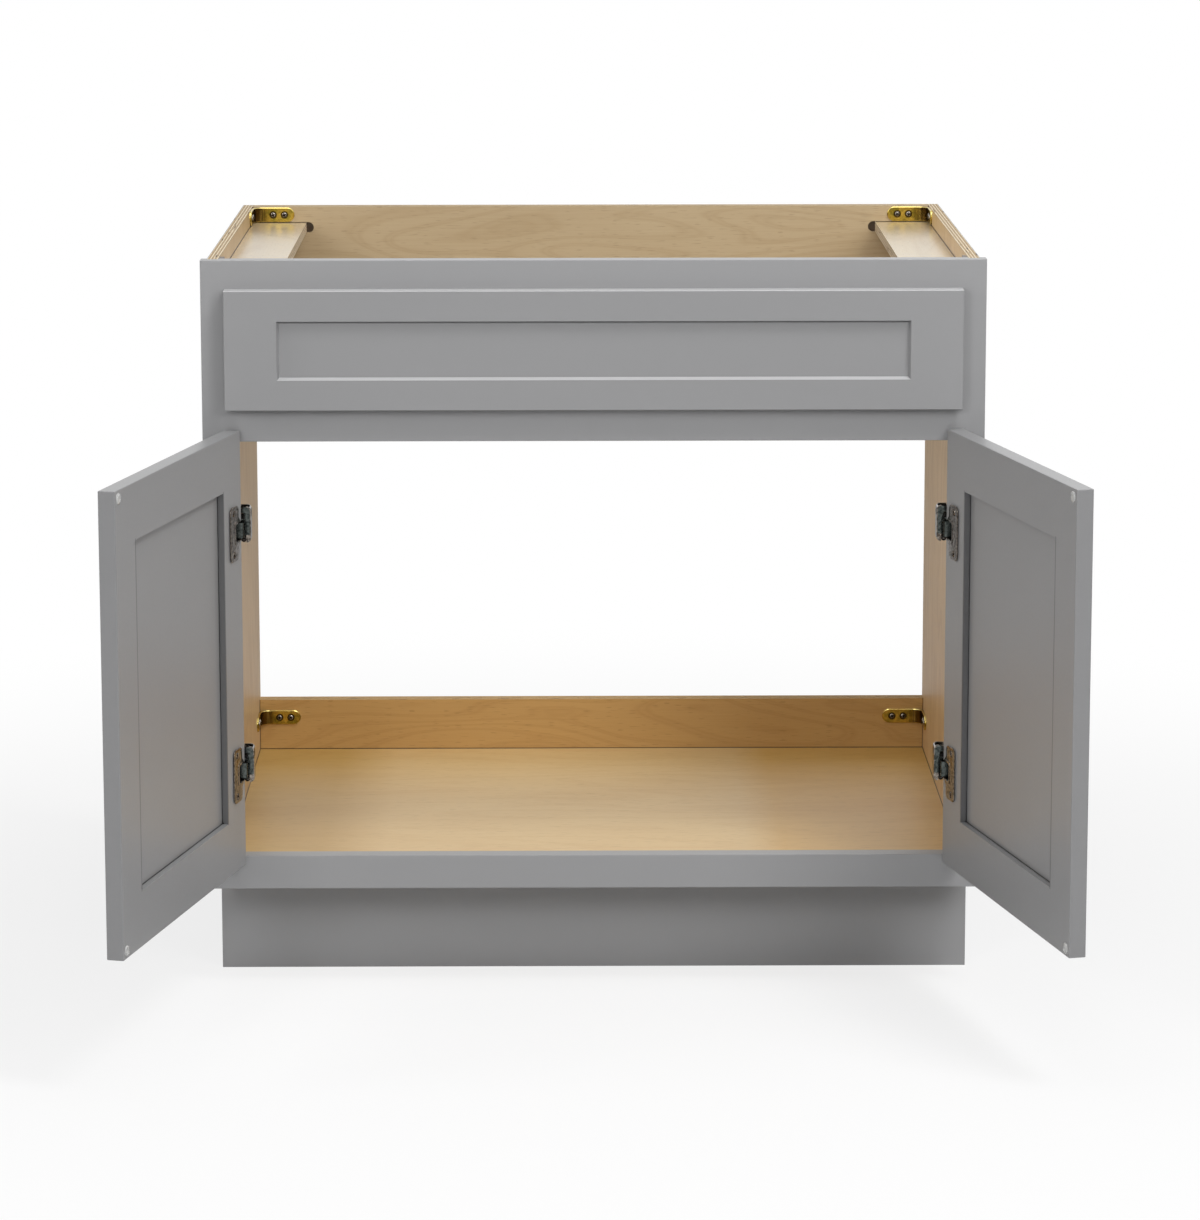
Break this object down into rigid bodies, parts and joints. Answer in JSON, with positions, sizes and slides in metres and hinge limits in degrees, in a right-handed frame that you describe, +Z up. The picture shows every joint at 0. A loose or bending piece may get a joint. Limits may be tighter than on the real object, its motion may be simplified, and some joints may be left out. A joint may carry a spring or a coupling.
{
  "type": "vanity base cabinet",
  "caption": "Floor-standing sink base cabinet: painted face frame, recessed-panel doors on concealed hinges, false drawer front, open top and back, plywood carcass, recessed toe kick.",
  "frame": {"origin": "on the floor, at the middle of the bottom edge of the toe kick board, in the mid plane of its thickness and of the cabinet's width", "axes": "+Z up, +Y from the doors towards the wall behind the cabinet, +X to the right as seen from the front"},
  "size_m": [0.9814, 0.9383, 0.8001],
  "materials": {
    "painted_wood": "satin grey paint on hardwood and fibreboard",
    "birch_plywood": "clear satin varnish on birch plywood, plies bare at the edges",
    "floor_plywood": "clear satin varnish on honey birch veneer",
    "pale_rail_plywood": "clear satin varnish on pale birch veneer",
    "amber_rail_plywood": "clear satin varnish on amber birch veneer",
    "cleat_wood": "bare planed hardwood",
    "zinc_bracket_steel": "yellow zinc plate",
    "zinc_screw_steel": "yellow zinc plate",
    "screw_steel": "bright zinc plate",
    "nickel_hinge_steel": "nickel plate",
    "clip_plastic": "moulded grey nylon",
    "bumper_plastic": "clear soft urethane"
  },
  "bodies": {
    "cabinet": {"cleat_screws": "screw_steel", "corner_bracket_screws": "zinc_screw_steel", "face_frame_bottom_rail": "painted_wood", "face_frame_left_stile": "painted_wood", "face_frame_middle_rail": "painted_wood", "face_frame_right_stile": "painted_wood", "face_frame_top_rail": "painted_wood", "false_front_bottom_rail": "painted_wood", "false_front_cleats": "cleat_wood", "false_front_left_stile": "painted_wood", "false_front_panel": "painted_wood", "false_front_right_stile": "painted_wood", "false_front_top_rail": "painted_wood", "floor_panel": "floor_plywood", "front_clip_screws": "screw_steel", "front_corner_clips": "clip_plastic", "hinge_plate_screws": "screw_steel", "left_lower_hinge_arm": "nickel_hinge_steel", "left_lower_hinge_plate": "nickel_hinge_steel", "left_side_panel": "birch_plywood", "left_top_stretcher": "birch_plywood", "left_upper_hinge_arm": "nickel_hinge_steel", "left_upper_hinge_plate": "nickel_hinge_steel", "lower_back_rail": "amber_rail_plywood", "lower_left_corner_bracket": "zinc_bracket_steel", "lower_right_corner_bracket": "zinc_bracket_steel", "right_lower_hinge_arm": "nickel_hinge_steel", "right_lower_hinge_plate": "nickel_hinge_steel", "right_side_panel": "birch_plywood", "right_top_stretcher": "birch_plywood", "right_upper_hinge_arm": "nickel_hinge_steel", "right_upper_hinge_plate": "nickel_hinge_steel", "toe_kick_board": "painted_wood", "upper_back_rail": "pale_rail_plywood", "upper_left_corner_bracket": "zinc_bracket_steel", "upper_right_corner_bracket": "zinc_bracket_steel"},
    "left_door": {"left_door_bottom_rail": "painted_wood", "left_door_bumpers": "bumper_plastic", "left_door_free_stile": "painted_wood", "left_door_hinge_stile": "painted_wood", "left_door_panel": "painted_wood", "left_door_top_rail": "painted_wood", "left_lower_hinge_cup": "nickel_hinge_steel", "left_upper_hinge_cup": "nickel_hinge_steel", "left_hinge_pins": "screw_steel", "left_hinge_cup_screws": "screw_steel"},
    "right_door": {"right_door_bottom_rail": "painted_wood", "right_door_bumpers": "bumper_plastic", "right_door_free_stile": "painted_wood", "right_door_hinge_stile": "painted_wood", "right_door_panel": "painted_wood", "right_door_top_rail": "painted_wood", "right_lower_hinge_cup": "nickel_hinge_steel", "right_upper_hinge_cup": "nickel_hinge_steel", "right_hinge_pins": "screw_steel", "right_hinge_cup_screws": "screw_steel"}
  },
  "joints": [
    {"name": "left_door_hinge", "type": "hinge", "parent": "cabinet", "child": "left_door", "pos_m": [-0.3873, -0.09655, 0.3794], "axis": [0, 0, 1], "range_deg": [0, 104]},
    {"name": "right_door_hinge", "type": "hinge", "parent": "cabinet", "child": "right_door", "pos_m": [0.3873, -0.09655, 0.3794], "axis": [0, 0, 1], "range_deg": [-104, 0]}
  ]
}
